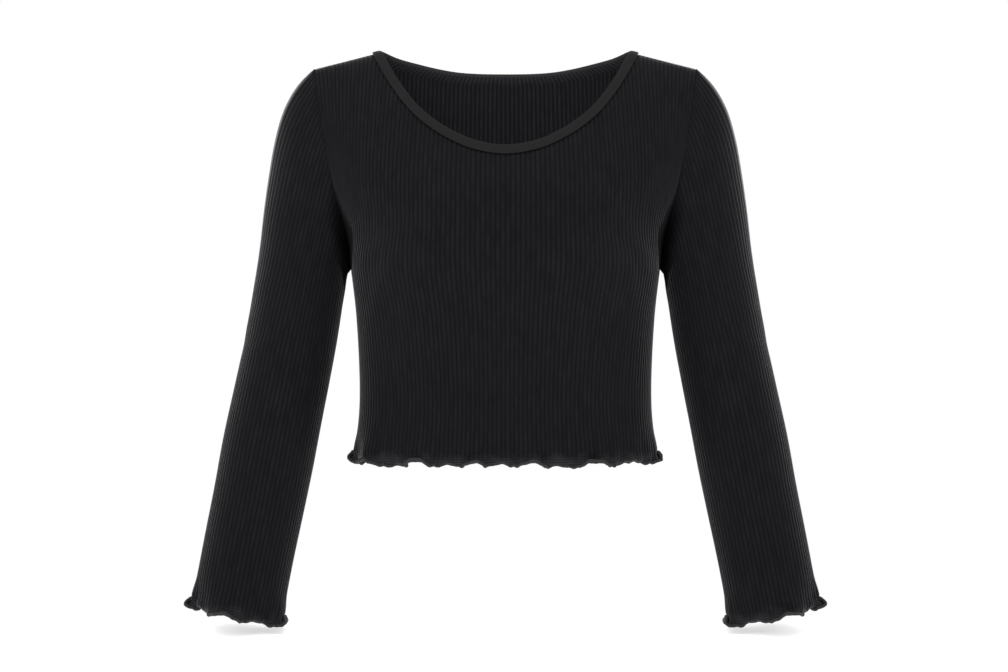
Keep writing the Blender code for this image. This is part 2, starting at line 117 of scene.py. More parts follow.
BUST_HEIGHT = -186.0
BUST_OUT = 80.0
BUST_RISE = 5.0
BUST_WIDTH = 34.0
BUST_TALL = 36.0
STRAIGHT_FROM = 0.75  # of the half panel's width: from there to the side seam the ribs straighten

CURVE_SAMPLES = 24
SECTION_SAMPLES = 200
NECK_SAMPLES = 90


def smooth_curve(points, samples=CURVE_SAMPLES):
    """A dense line through the points, and the index on it of each of them."""
    p = np.asarray(points, float)
    step = np.sqrt(np.linalg.norm(np.diff(p, axis=0), axis=1))[:, None]
    slope = np.diff(p, axis=0) / step
    inner = (step[1:] * slope[:-1] + step[:-1] * slope[1:]) / (step[:-1] + step[1:])
    tangent = np.vstack([slope[:1], inner, slope[-1:]])
    t = np.linspace(0, 1, samples, endpoint=False)[:, None]
    start, start_bend = 2 * t**3 - 3 * t**2 + 1, t**3 - 2 * t**2 + t
    end, end_bend = 3 * t**2 - 2 * t**3, t**3 - t**2
    bend = step * tangent[:-1], step * tangent[1:]
    parts = [
        start * p[i] + start_bend * bend[0][i] + end * p[i + 1] + end_bend * bend[1][i]
        for i in range(len(p) - 1)
    ]
    return np.vstack([*parts, p[-1:]]), [i * samples for i in range(len(p))]


def arc_length(line, axis=0):
    """Distances from the start of a line, or from one side of a grid of points."""
    return np.insert(np.cumsum(np.linalg.norm(np.diff(line, axis=axis), axis=-1), axis=axis), 0, 0, axis=axis)


def unit(vectors):
    return vectors / np.linalg.norm(vectors, axis=-1, keepdims=True)


def along(line, shares):
    """The points that lie at these shares of the line's length."""
    length = arc_length(line)
    at = np.asarray(shares) * length[-1]
    return np.stack([np.interp(at, length, line[:, k]) for k in range(3)], axis=-1)


def half_section(level, facing):
    """A level's line from the centre to its edge; facing is -1 for the front and 1 for the back."""
    depths = (level.front, level.front_edge) if facing < 0 else (level.back, level.back_edge)
    depth, edge_depth = depths
    power = level.squareness
    half_width = level.edge_half_width / (1 - (edge_depth / depth) ** power) ** (1 / power)
    last = math.asin((level.edge_half_width / half_width) ** (power / 2))
    turn = np.linspace(0, last, SECTION_SAMPLES)
    x = half_width * np.sin(turn) ** (2 / power)
    y = facing * depth * np.maximum(np.cos(turn), 0) ** (2 / power)
    rise = level.edge_height - level.centre_height
    z = level.centre_height + rise * (x / level.edge_half_width) ** 2
    return np.stack([x, y, z], axis=1)


SECTIONS = {facing: [half_section(level, facing) for level in LEVELS] for facing in (-1, 1)}


def section_points(u, facing):
    """Where the rib at a share u of the half panel crosses each level. Above the underarm the ribs keep
    their distance at the centre and crowd together towards the armhole."""
    lengths = [arc_length(section)[-1] for section in SECTIONS[facing]]
    points = []
    for index, section in enumerate(SECTIONS[facing]):
        crowd = max(0.0, lengths[UNDERARM_LEVEL] / lengths[index] - 1) if index > UNDERARM_LEVEL else 0.0
        points.append(along(section, u * (1 + crowd - crowd * u**2)))
    return points


def ridge(u):
    """The top of the form at a share u of the half panel: the shoulder seam, or the closed neck."""
    bound = NECK_HALF_WIDTH + BINDING_WIDTH
    if u >= NECK_SHARE:
        t = (u - NECK_SHARE) / (1 - NECK_SHARE)
        x = bound + (SHOULDER_HALF_WIDTH - bound) * t
        return (x, NECK_RIDGE_BACK * (1 - t), -SHOULDER_FALL * (x - NECK_HALF_WIDTH))
    t = u / NECK_SHARE
    back = CLOSED_NECK_BACK + (NECK_RIDGE_BACK - CLOSED_NECK_BACK) * t**2
    return (bound * t, back, CLOSED_NECK_RISE * (1 - t**2) - SHOULDER_FALL * BINDING_WIDTH)


def neck_outline(facing, lowered):
    """The neckline from the front, or the lower edge of its binding: half widths and the drops at them."""
    rows = [(row.half_width, row.front_drop, row.back_drop) for row in NECKLINE]
    mirrored = (-rows[1][0], *rows[1][1:])  # so that the line is level at the centre
    line, marks = smooth_curve([mirrored, *rows])
    line = line[marks[1] :]
    edge = np.stack([line[:, 0], line[:, 1] if facing < 0 else line[:, 2]], axis=1)
    if lowered:
        way = np.gradient(edge, axis=0)
        edge = edge + BINDING_WIDTH * unit(np.stack([-way[:, 1], way[:, 0]], axis=1))
        edge[0, 0] = 0.0
        edge = np.vstack([edge[:-1], [NECK_HALF_WIDTH + BINDING_WIDTH, SHOULDER_FALL * BINDING_WIDTH]])
    return edge


NECK_OUTLINES = {
    (facing, lowered): neck_outline(facing, lowered) for facing in (-1, 1) for lowered in (0, 1)
}


def cut_at_neck(line, facing, lowered):
    """The line up to where it meets the neckline or its binding's lower edge."""
    edge = NECK_OUTLINES[facing, lowered]
    above = line[:, 2] + np.interp(np.abs(line[:, 0]), edge[:, 0], edge[:, 1])
    beyond = np.flatnonzero((above > 0) & (np.abs(line[:, 0]) < edge[-1, 0]))
    if not len(beyond):
        return line
    i = beyond[0]
    share = above[i - 1] / (above[i - 1] - above[i])
    return np.vstack([line[:i], line[i - 1] + share * (line[i] - line[i - 1])])


def bust_rise(line, u, facing):
    """How far the bust pushes the front out along the column at share u: nothing at the panel's edge."""
    if facing > 0:
        return np.zeros(len(line))
    out = ((np.abs(line[:, 0]) - BUST_OUT) / BUST_WIDTH) ** 2
    up = ((line[:, 2] - BUST_HEIGHT) / BUST_TALL) ** 2
    return BUST_RISE * np.exp(-(out + up) / 2) * (1 - u**4)


def rib_path(u, facing):
    """A rib's path at a share u of the half panel: from hem to underarm, and from there to the ridge."""
    front, back = (section_points(u, side) for side in (-1, 1))
    own, other = (front, back) if facing < 0 else (back, front)
    line, marks = smooth_curve([*own, ridge(u), *other[::-1]])
    underarm, top = marks[UNDERARM_LEVEL], marks[len(LEVELS)]
    # Towards the side seam the body's part straightens, as front and back meet there.
    plain, _ = smooth_curve(own[: UNDERARM_LEVEL + 1])
    straight = max(0.0, (u - STRAIGHT_FROM) / (1 - STRAIGHT_FROM)) ** 2
    body = line[: underarm + 1] + (plain - line[: underarm + 1]) * straight
    return body, line[underarm : top + 1]


def column(u, facing, body_shares, yoke_shares):
    """Points up one column of a panel, from the hem line to the binding's lower edge or the shoulder."""
    body, yoke = rib_path(u, facing)
    if u < NECK_SHARE - 1e-6:
        yoke = cut_at_neck(yoke, facing, 1)
    points = np.vstack([along(body, body_shares), along(yoke, yoke_shares)])
    points[:, 1] -= bust_rise(points, u, facing)
    return points


def neck_edges(facing):
    """Shares out from the centre, the binding's lower edge there, and the neckline beside it."""
    shares = np.linspace(0, NECK_SHARE, NECK_SAMPLES)
    lower = np.array([column(u, facing, [0.0], [1.0])[1] for u in shares])
    reach = NECK_HALF_WIDTH / (NECK_HALF_WIDTH + BINDING_WIDTH)
    paths = [rib_path(u, facing)[1] for u in shares[:-1] * reach]
    corner = rib_path(NECK_SHARE * reach, facing)[1][-1]
    neckline = np.array([*(cut_at_neck(path, facing, 0)[-1] for path in paths), corner])
    return shares, lower, neckline


NECK_EDGES = {facing: neck_edges(facing) for facing in (-1, 1)}


def neckline_point(u, facing):
    """The neckline's point beside the top of the column at share u."""
    shares, lower, neckline = NECK_EDGES[facing]
    length = arc_length(lower)
    return along(neckline, np.interp(u, shares, length) / length[-1])


# Lettuce edge: the last of the cloth curls out and in by turns, lobe by lobe, along its overlocked edge.
FRILL_SWAY = 2.0
RIPPLE = 0.6
RIPPLE_LENGTH = 11.0
RIPPLE_DRIFT = 0.35  # the curl shifts the ripples by this much of itself
GATHER = 1.3
GATHER_HEIGHT = 11.0
GATHER_LIMIT = 1.5  # radians of curl; beyond it the waves above the edge grow no further
LOW_WIDTH = 1.4  # how flat the edge hangs between two lobes
PULLED_SHORT = 0.08  # the share of its drop that the edge loses between two lobes
PULLED_CURL = 0.8
CURL_GROWTH = 1.5  # the curl tightens towards the edge
CURL_LEAD = 1.2  # and starts the other way
CURL_STEPS = 60
# Millimetres along the edge; degrees, positive outwards; how far the edge has been stretched downwards.
Lobe = namedtuple("Lobe", "along curl drop")
# Along the hem from the centre line, positive to the wearer's left, as the edge is followed round.
FRONT_LOBES = (
    Lobe(-195.6, 350, 14),
    Lobe(-172, -110, 15),
    Lobe(-146, 140, 15),
    Lobe(-109, -90, 17),
    Lobe(-87, 175, 15),
    Lobe(-55, -100, 16),
    Lobe(-30, 135, 16),
    Lobe(-6, -105, 15),
    Lobe(26, 145, 16),
    Lobe(52, -95, 17),
    Lobe(85, 165, 17),
    Lobe(132, -110, 15),
    Lobe(195.6, 350, 14),
)


def lobe_curl(shares, lobes):
    """At shares of the way along the lobes: the curl in radians, the sway along the edge, and the drop."""
    distances = [abs(lobe.along - lobes[0].along) for lobe in lobes]
    line, _ = smooth_curve([(distance, 0.0, index) for index, distance in enumerate(distances)])
    places = shares * distances[-1]
    phase = np.interp(places, line[:, 0], line[:, 2]) * np.pi
    wave = np.cos(phase)
    size = np.interp(places, distances, [abs(lobe.curl) for lobe in lobes])
    drop = np.interp(places, distances, [lobe.drop for lobe in lobes])
    curl = np.radians(np.copysign(np.abs(wave) ** LOW_WIDTH, wave) * size)
    # Between two lobes the edge is pulled sideways, which shortens it.
    drop = drop * (1 - PULLED_SHORT * np.exp(-((curl / PULLED_CURL) ** 2)))
    return curl, np.sin(2 * phase), drop


def gathers(curl, up):
    """How far the waves of an edge push out the cloth at a height above it."""
    out = GATHER * np.clip(curl, -GATHER_LIMIT, GATHER_LIMIT)
    return out[:, None] * np.exp(-((up / GATHER_HEIGHT) ** 2))


def frill(start, above, way, curl, sway, drop, depths):
    """Rows of a lettuce edge below the points of a plain edge, at depths from 0 to 1 of its drop."""
    down, way = unit(start - above), unit(way)
    out = np.cross(down, way)
    # Small ripples between the lobes, uneven because their pace follows the curl.
    ripple = arc_length(start) * 2 * np.pi / RIPPLE_LENGTH + RIPPLE_DRIFT * curl
    steps = np.linspace(0, 1, CURL_STEPS)
    angle = curl[:, None] * (steps**CURL_GROWTH - CURL_LEAD * steps * (1 - steps))
    run = np.stack([np.cos(angle), np.sin(angle)], axis=2)
    run = np.cumsum((run[:, 1:] + run[:, :-1]) / 2, axis=1) * drop[:, None, None] / (len(steps) - 1)
    run = np.concatenate([np.zeros_like(run[:, :1]), run], axis=1)
    rows = []
    for depth in depths:
        place = np.clip(depth * (len(steps) - 1), 0, len(steps) - 1)
        low = int(place)
        high = min(low + 1, len(steps) - 1)
        at = run[:, low] + (run[:, high] - run[:, low]) * (place - low)
        along_edge = way * (FRILL_SWAY * sway * depth**1.5)[:, None]
        small = RIPPLE * depth**2 * np.stack([np.sin(ripple), np.cos(0.7 * ripple + 1)], axis=1)
        at_down, at_out = at[:, :1] + small[:, :1], at[:, 1:] + small[:, 1:]
        rows.append(start + down * at_down + out * at_out + along_edge)
    return np.stack(rows, axis=1)


# Rib knit
RIB_POINTS = 6
RIB_SHAPE = (-1.0, 0.15, 0.85, 1.0, 0.85, 0.15)  # of half a rib's depth, from groove to groove
RIB_DEPTH = 0.55
PANEL_RIBS = 90
WALL = 1.1  # of the cloth
SEAM_DEPTH = 0.9  # how far a sewn edge rolls in
SEAM_WIDTH = 2.2
RIB_END = 1.6  # a rib flattens this near to a seam
FAR = 99.0  # from any seam

Crease = namedtuple("Crease", "across up length width depth lean")
FRONT_CREASES = (
    Crease(128, 196, 90, 7, 0.9, 38),
    Crease(-131, 190, 80, 8, 1.1, -35),
    Crease(112, 168, 70, 9, 0.7, 30),
    Crease(-108, 160, 84, 8, 0.8, -28),
    Crease(60, 60, 120, 11, 0.7, 4),
    Crease(-74, 48, 100, 10, 0.8, -6),
    Crease(14, 70, 110, 12, 0.5, 2),
)


def creases_at(x, y, creases):
    """The height of soft troughs, each with a ridge half as high beside it, at places on the flat piece."""
    height = np.zeros_like(x)
    for crease in creases:
        lean = math.radians(crease.lean)
        dx, dy = x - crease.across, y - crease.up
        off = dx * math.cos(lean) + dy * math.sin(lean)
        run = -dx * math.sin(lean) + dy * math.cos(lean)
        fade = np.exp(-((2 * run / crease.length) ** 4))
        beside = off / crease.width
        height -= crease.depth * fade * np.exp(-(beside**2) / 2)
        height += crease.depth * 0.5 * fade * np.exp(-((beside - 1.9) ** 2) / 2)
    return height


def surface_normals(points, closed):
    """Normals of a grid of points; the grid's first direction may close on itself."""
    if closed:
        across = np.roll(points, -1, axis=0) - np.roll(points, 1, axis=0)
        across[0] = across[-1] = points[1] - points[-2]
    else:
        across = np.gradient(points, axis=0)
    return unit(np.cross(across, np.gradient(points, axis=1)))


PAINTED_SHADE_FROM = 0.04  # of the painted shade; past it a face takes the darker copy of the cloth


def laid_grid(name, points, uv, materials, thickness=WALL, **shade_maps):
    """A piece laid out as a flat grid and moved to its points, with its own map and maps of the shade painted
    on it. Cloth gets its thickness on the inside, where a second, paler material shows; a third, darker copy
    lies where shade is painted."""
    columns, rows = points.shape[:2]
    bm = bmesh.new()
    layer = bm.loops.layers.uv.new("knit")
    for kind in shade_maps:
        bm.verts.layers.float.new(kind)
    bmesh.ops.create_grid(bm, x_segments=columns - 1, y_segments=rows - 1, size=0.5)
    spot = {
        vert: (round((vert.co.x + 0.5) * (columns - 1)), round((vert.co.y + 0.5) * (rows - 1)))
        for vert in bm.verts
    }
    for face in bm.faces:
        face.smooth = True
        # Faces in the painted shade under the arm take the third material, darker and without sheen.
        if "unfaded" in shade_maps and max(shade_maps["unfaded"][spot[vert]] for vert in face.verts) > PAINTED_SHADE_FROM:
            face.material_index = 2
        for loop in face.loops:
            loop[layer].uv = uv[spot[loop.vert]]
    for vert, place in spot.items():
        vert.co = points[place] * MM
        for kind, share in shade_maps.items():
            vert[bm.verts.layers.float[kind]] = share[place]
    bmesh.ops.remove_doubles(bm, verts=bm.verts, dist=1e-6)
    mesh = bpy.data.meshes.new(name)
    bm.to_mesh(mesh)
    bm.free()
    for material in materials:
        mesh.materials.append(material)
    piece = bpy.data.objects.new(name, mesh)
    bpy.context.scene.collection.objects.link(piece)
    if thickness:
        wall = piece.modifiers.new("wall", "SOLIDIFY")
        wall.thickness = thickness * MM
        wall.offset = -1.0
        wall.material_offset = 1 if len(materials) > 1 else 0
    return piece


def linear(code):
    """An sRGB hex colour as linear values."""
    values = [int(code[i : i + 2], 16) / 255 for i in (1, 3, 5)]
    return (*(v / 12.92 if v <= 0.04045 else ((v + 0.055) / 1.055) ** 2.4 for v in values), 1.0)


def give(node, values):
    """Sets a node's sockets, by name or number, to values or to other nodes' outputs."""
    for socket, value in values.items():
        if isinstance(value, bpy.types.NodeSocket):
            node.id_data.links.new(value, node.inputs[socket])
        else:
            node.inputs[socket].default_value = value


def add(tree, kind, links=(), **settings):
    """Adds a node with its sockets and settings, and gives back its outputs."""
    made = tree.nodes.new("ShaderNode" + kind)
    for name, value in settings.items():
        setattr(made, name, value)
    give(made, dict(links))
    return made.outputs


def blank_material(name):
    """A material, its nodes and its shader."""
    material = bpy.data.materials.new(name)
    material.use_nodes = True
    return material, material.node_tree, material.node_tree.nodes["Principled BSDF"]


# Cotton rib jersey, dyed black: soft and matt, with a faint grey bloom of fibre ends at grazing angles. Each
# rib is two columns of V-shaped stitches; the grooves between ribs are painted darker, as their shade.
RIB_LIGHT = "#17171a"
RIB_DARK = "#0a0a0c"
GROOVE_BLACK = "#08080a"
FRILL_DARK = "#101011"  # the overlocking's threads run along it
FRILL_LIGHT = "#363638"
THREAD_LINES = 2.6  # millimetres apart
# Its wrong side, painted paler as painted light, so that it reads as lit inside the neck and on the curled
# edges
INSIDE_LIGHT = "#323235"
INSIDE_DARK = "#242427"
INSIDE_GROOVE = "#1b1b1e"
# Painted shade under the arm: near black, and a darker copy of the cloth without its sheen
PAINTED_SHADE_BLACK = "#010101"
PAINTED_SHADE_RIB_LIGHT = "#19191c"
PAINTED_SHADE_RIB_DARK = "#0c0c0e"
STITCH_TALL = 1.5  # drawn coarser than the real 1.0 so that it shows
SHEEN_WEIGHT = 1.0
SHEEN_ROUGHNESS = 0.28
SHEEN_GREY = "#a8a8aa"
# To the metre
FIBRE_ENDS = 900.0  # about 1.1 mm apart
CLOUDS = 14.0  # about 70 mm across
PATCHES = 70.0  # about 14 mm across


def rib_knit_material(name, light_black, dark_black, groove_black, frill_share, sheen):
    material, tree, shader = blank_material(name)
    uv = add(tree, "UVMap", uv_map="knit")[0]
    across, up, _ = add(tree, "SeparateXYZ", {0: uv})
    # Painted shade in the grooves between the ribs, less where crowded ribs have closed them up
    from_groove = add(tree, "Math", {0: across, 1: 0.5}, operation="PINGPONG")[0]
    shaded = {0: from_groove, 1: 0.0, 2: 0.3, 3: 1.0, 4: 0.0}
    groove = add(tree, "MapRange", shaded, interpolation_type="SMOOTHSTEP")[0]
    closed_up = add(tree, "Attribute", attribute_name="closed_up")["Fac"]
    groove = add(tree, "Mix", {0: closed_up, 2: groove, 3: 0.25}, data_type="FLOAT")[0]
    # No two ribs take the dye quite alike, and each changes a little along its length.
    rib = add(tree, "Math", {0: across}, operation="FLOOR")[0]
    apart = add(tree, "Math", {0: rib, 1: 3.7}, operation="MULTIPLY")[0]
    length = add(tree, "Math", {0: up, 1: 0.045}, operation="MULTIPLY")[0]
    place = add(tree, "CombineXYZ", {0: apart, 1: length})[0]
    uneven = add(tree, "TexNoise", {0: place, "Scale": 1.0, "Detail": 2.0})[0]
    # Two columns of V-shaped stitches to a rib
    twice = add(tree, "Math", {0: across, 1: 2.0}, operation="MULTIPLY")[0]
    wale = add(tree, "Math", {0: twice, 1: 0.5}, operation="PINGPONG")[0]
    rows = add(tree, "Math", {0: up, 1: STITCH_TALL}, operation="DIVIDE")[0]
    course = add(tree, "Math", {0: wale, 1: 1.1, 2: rows}, operation="MULTIPLY_ADD")[0]
    turns = add(tree, "Math", {0: course, 1: 2 * math.pi}, operation="MULTIPLY")[0]
    stitch = add(tree, "Math", {0: turns}, operation="SINE")[0]
    half_turn = add(tree, "Math", {0: wale, 1: math.pi}, operation="MULTIPLY")[0]
    body = add(tree, "Math", {0: half_turn}, operation="SINE")[0]
    rounded = add(tree, "Math", {0: body, 1: 0.55}, operation="MULTIPLY")[0]
    yarn = add(tree, "Math", {0: stitch, 1: 0.45, 2: rounded}, operation="MULTIPLY_ADD")[0]
    # Fibre ends, and the clouds that washing leaves
    position = add(tree, "TexCoord")["Object"]
    fuzz = add(tree, "TexNoise", {0: position, "Scale": FIBRE_ENDS, "Detail": 3.0})[0]
    cloud = add(tree, "TexNoise", {0: position, "Scale": CLOUDS, "Detail": 3.0})[0]
    fine = add(tree, "Math", {0: fuzz, 1: 0.35, 2: -0.5}, operation="MULTIPLY_ADD")[0]
    broad = add(tree, "Math", {0: cloud, 1: 0.35, 2: fine}, operation="MULTIPLY_ADD")[0]
    tone = add(tree, "Math", {0: uneven, 1: 1.3, 2: broad}, operation="MULTIPLY_ADD")[0]
    dyes = {0: tone, 6: linear(dark_black), 7: linear(light_black)}
    light = add(tree, "Mix", dyes, data_type="RGBA")[2]
    ribbed = {0: groove, 6: light, 7: linear(groove_black)}
    cloth_colour = add(tree, "Mix", ribbed, data_type="RGBA")[2]
    # The edge's stretch reaches up the cloth unevenly.
    patch = add(tree, "TexNoise", {0: position, "Scale": PATCHES, "Detail": 2.0})[0]
    reach = add(tree, "Math", {0: patch, 1: 22.0, 2: up}, operation="MULTIPLY_ADD")[0]
    pulled = {0: reach, 1: 10.0, 2: -2.0, 3: 0.0, 4: frill_share}
    stretched = add(tree, "MapRange", pulled, interpolation_type="SMOOTHSTEP")[0]
    line_turns = add(tree, "Math", {0: up, 1: 2 * math.pi / THREAD_LINES}, operation="MULTIPLY")[0]
    lines = add(tree, "Math", {0: line_turns}, operation="SINE")[0]
    threads = add(tree, "Math", {0: lines, 1: 0.3, 2: fuzz}, operation="MULTIPLY_ADD")[0]
    frilled = {0: threads, 6: linear(FRILL_DARK), 7: linear(FRILL_LIGHT)}
    frill_colour = add(tree, "Mix", frilled, data_type="RGBA")[2]
    whole = {0: stretched, 6: cloth_colour, 7: frill_colour}
    colour = add(tree, "Mix", whole, data_type="RGBA")[2]
    # Painted shade beside the armhole seam turns the colour towards black.
    unfaded = add(tree, "Attribute", attribute_name="unfaded")["Fac"]
    painted_shade_mix = {0: unfaded, 6: colour, 7: linear(PAINTED_SHADE_BLACK)}
    colour = add(tree, "Mix", painted_shade_mix, data_type="RGBA")[2]
    height = add(tree, "Math", {0: fuzz, 1: 0.35, 2: yarn}, operation="MULTIPLY_ADD")[0]
    bump = add(tree, "Bump", {"Height": height, "Distance": 0.12 * MM, "Strength": 0.8})[0]
    give(shader, {"Base Color": colour, "Normal": bump, "Roughness": 0.82, "IOR": 1.45})
    give(shader, {"Specular IOR Level": 0.08, "Sheen Weight": sheen})
    give(shader, {"Sheen Roughness": SHEEN_ROUGHNESS, "Sheen Tint": linear(SHEEN_GREY)})
    return material


# The outside; the wrong side, painted paler as painted light, which the edge's threads show through more; and
# a darker copy of the outside without its bloom, as painted shade
RIB_KNITS = (
    rib_knit_material("black cotton rib knit", RIB_LIGHT, RIB_DARK, GROOVE_BLACK, 0.6, SHEEN_WEIGHT),
    rib_knit_material(
        "black cotton rib knit, inside, painted paler", INSIDE_LIGHT, INSIDE_DARK, INSIDE_GROOVE, 0.9, SHEEN_WEIGHT
    ),
    rib_knit_material("black cotton rib knit, painted shade", PAINTED_SHADE_RIB_LIGHT, PAINTED_SHADE_RIB_DARK, GROOVE_BLACK, 0.6, 0.0),
)

BODY_ROWS = 26
YOKE_ROWS = 34
FRILL_ROWS = 11


def rib_relief(count):
    """Half a rib's depth, up or down, at each column of a piece with this many columns."""
    shape = np.array(RIB_SHAPE) * RIB_DEPTH / 2
    return shape[np.arange(count) % RIB_POINTS]


RIB_AT_EDGE = 0.35  # of a rib's depth is left where the edge is stitched


def lettuce_edge(form, way, curl, sway, drop, closed):
    """The edge's rows below a piece's form, with their ribs, and the heights to map them at."""
    depths = np.linspace(1, 0, FRILL_ROWS, endpoint=False)
    edge = frill(form[:, 0], form[:, 1], way, curl, sway, drop, depths)
    normal = surface_normals(np.concatenate([edge, form[:, :2]], axis=1), closed)[:, :-2]
    fading = RIB_AT_EDGE + (1 - RIB_AT_EDGE) * (1 - depths)
    edge = edge + normal * rib_relief(len(form))[:, None, None] * fading[None, :, None]
    return edge, -depths[None] * drop[:, None]


def edge_roll(distance):
    """How far a sewn edge has rolled in, at a distance from its seam."""
    return -SEAM_DEPTH * np.exp(-((distance / SEAM_WIDTH) ** 2))


# The armhole seam sinks in towards the underarm, where sleeve and body press together.
ARMHOLE_MIDDLE = -180.0  # height
HOLLOW_TOP = -104.0
HOLLOW_FLOOR = -196.0
HOLLOW_END = -216.0
HOLLOW_CLOSING = 12.0  # the height over which it ends
HOLLOW_DEPTH = 10.0
ARMHOLE_ROLL = 0.4  # of other seams' depth
PANEL_HOLLOW_WIDTH = 2.2
SLEEVE_HOLLOW_WIDTH = 9.0
SEAM_SHADE = 1.4  # the shade's width along the whole seam
PANEL_SHADE = 15.0  # and where the hollow is deepest
SLEEVE_SHADE = 11.0


def hollow_share(points):
    """How far the hollow has opened at a height, from nothing to all of it."""
    share = np.clip((HOLLOW_TOP - points[..., 2]) / (HOLLOW_TOP - HOLLOW_FLOOR), 0, 1)
    return share**2 * (3 - 2 * share)


def shade(points, distance, width, growth):
    """How strongly painted shade darkens the cloth beside the armhole seam, where little light reaches it: a
    tenth at the shoulder, and all of it in the hollow."""
    share = hollow_share(points)
    reach = SEAM_SHADE + (width - SEAM_SHADE) * share**growth
    return np.clip(0.1 + 1.3 * share, 0, 1) * np.exp(-((distance / reach) ** 2))


def sunk_armhole(points, distance, width):
    """How points at a distance from the armhole seam move in towards the armhole's middle."""
    inwards = np.stack([0 * points[..., 0], -points[..., 1], ARMHOLE_MIDDLE - points[..., 2]], axis=-1)
    inwards /= np.maximum(np.linalg.norm(inwards, axis=-1, keepdims=True), 1e-6)
    ending = np.clip((points[..., 2] - HOLLOW_END) / HOLLOW_CLOSING, 0, 1)
    hollow = HOLLOW_DEPTH * hollow_share(points) * ending
    depth = -ARMHOLE_ROLL * edge_roll(distance) + hollow * np.exp(-((distance / width) ** 2))
    return inwards * depth[..., None]


UNDER_BINDING = 0.8  # of the binding's width that the cloth reaches up behind it
PANEL_HALF_WIDTH = 215.0  # laid flat
CLOSED_SPACING = 2.8  # of ribs so crowded that they lie flat
OPENING = 1.2  # of the spacing until they stand to their full depth
HELD_DEPTH = 0.8  # beside the binding's stitches
HELD_WIDTH = 1.8


def panel_form(facing):
    """A panel's plain form, from the hem line up: its columns run from the wearer's right on the front and
    from the left on the back, so that both face out. Also the strip's edge, which the binding covers."""
    count = PANEL_RIBS * RIB_POINTS + 1
    across = np.linspace(-1, 1, count)
    body = np.linspace(0, 1, BODY_ROWS, endpoint=False)
    yoke = np.linspace(0, 1, YOKE_ROWS + 1)
    half = [column(u, facing, body, yoke) for u in across[count // 2 :]]
    right = [points * (-1, 1, 1) for points in half[:0:-1]]
    points = np.array(right + half)
    # Under the binding the cloth goes on to just below the neckline.
    tops = points[:, -1].copy()
    for i in np.flatnonzero(np.abs(across) < NECK_SHARE):
        tops[i] = neckline_point(abs(across[i]), facing) * (math.copysign(1, across[i]), 1, 1)
    strip = points[:, -1] + (tops - points[:, -1]) * UNDER_BINDING
    if facing > 0:
        return across[::-1], points[::-1], strip[::-1]
    return across, points, strip


def panel(name, facing, creases, lobes):
    across, form, strip = panel_form(facing)
    up = arc_length(form, axis=1)
    flat_x = across[:, None] * PANEL_HALF_WIDTH + 0 * up
    # The lettuce edge hangs from the hem line, and its waves start a little above it.
    hem_line = arc_length(form[:, 0])
    curl, sway, drop = lobe_curl(hem_line / hem_line[-1], lobes)
    form = form + surface_normals(form, False) * gathers(curl, up)[..., None]
    normal = surface_normals(form, False)
    # Where the ribs crowd together they lie flatter and their grooves close up.
    spacing = np.linalg.norm(np.gradient(form, axis=0), axis=2) * RIB_POINTS
    open_share = np.clip((spacing - CLOSED_SPACING) / OPENING, 0, 1)
    # There the grooves' painted shade is lessened.
    closed_up = np.zeros((len(across), FRILL_ROWS + form.shape[1] + 1))
    closed_up[:, FRILL_ROWS:-1] = 1 - open_share
    relief = rib_relief(len(across))[:, None] * open_share + creases_at(flat_x, up, creases)
    # Distances from the side seams, the armholes and the shoulder seams.
    run = arc_length(form)
    side = np.minimum(run, run[-1:] - run)
    armhole_edge = side.copy()
    side[:, BODY_ROWS:] = armhole_edge[:, :BODY_ROWS] = FAR
    at_shoulder = (np.abs(across) >= NECK_SHARE)[:, None]
    top = np.where(at_shoulder, up[:, -1:] - up, FAR)
    near_seam = np.minimum(np.minimum(side, top), armhole_edge)
    relief = relief * (1 - np.exp(-((near_seam / RIB_END) ** 2))) + edge_roll(np.minimum(side, top))
    # Beside the binding the cloth is held down by its stitches.
    held_down = np.where(at_shoulder, FAR, up[:, -1:] - up)
    relief = relief - HELD_DEPTH * np.exp(-((held_down / HELD_WIDTH) ** 2))
    points = form + normal * relief[..., None] + sunk_armhole(form, armhole_edge, PANEL_HOLLOW_WIDTH)
    # Painted shade beside the armhole, widest and darkest in the hollow under the arm.
    unfaded = np.zeros((len(across), FRILL_ROWS + form.shape[1] + 1))
    unfaded[:, FRILL_ROWS:-1] = shade(form, armhole_edge, PANEL_SHADE, 4)
    way = np.gradient(form[:, 0], axis=0)
    way[0] = (0, facing, 0)
    way[-1] = (0, -facing, 0)
    edge, edge_up = lettuce_edge(form, way, curl, sway, drop, False)
    covered = (strip + (points[:, -1] - form[:, -1]))[:, None]
    points = np.concatenate([edge, points, covered], axis=1)
    rows_up = np.concatenate([edge_up, up, up[:, -1:] + BINDING_WIDTH], axis=1)
    uv = np.stack([np.arange(len(across))[:, None] / RIB_POINTS + 0 * rows_up, rows_up], axis=2)
    piece = laid_grid(name, points, uv, RIB_KNITS, unfaded=unfaded, closed_up=closed_up)
    return piece, np.column_stack([points[:, 0], curl])


front, front_edge = panel("front_panel", -1, FRONT_CREASES, FRONT_LOBES)
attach(front, "root")
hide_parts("front")


# ---------------------------- back panel
# The back is cut like the front in the same rib knit, with a higher neckline and no room for a bust. It is
# overlocked to the front at the shoulders and down the sides.
BACK_CREASES = (
    Crease(120, 205, 90, 8, 1.0, 36),
    Crease(-124, 198, 84, 8, 0.9, -33),
    Crease(20, 120, 120, 14, 0.8, 10),
    Crease(-48, 96, 110, 12, 0.7, -8),
    Crease(70, 60, 100, 11, 0.7, 5),
)
BACK_LOBES = (
    Lobe(191.4, 350, 14),
    Lobe(168, -110, 15),
    Lobe(140, 150, 16),
    Lobe(112, -105, 16),
    Lobe(86, 170, 15),
    Lobe(52, -95, 17),
    Lobe(24, 140, 16),
    Lobe(-8, -110, 15),
    Lobe(-37, 165, 16),
    Lobe(-66, -100, 16),
    Lobe(-97, 145, 17),
    Lobe(-135, -110, 15),
    Lobe(-191.4, 350, 14),
)
back, back_edge = panel("back_panel", 1, BACK_CREASES, BACK_LOBES)
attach(back, "root")
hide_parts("back")


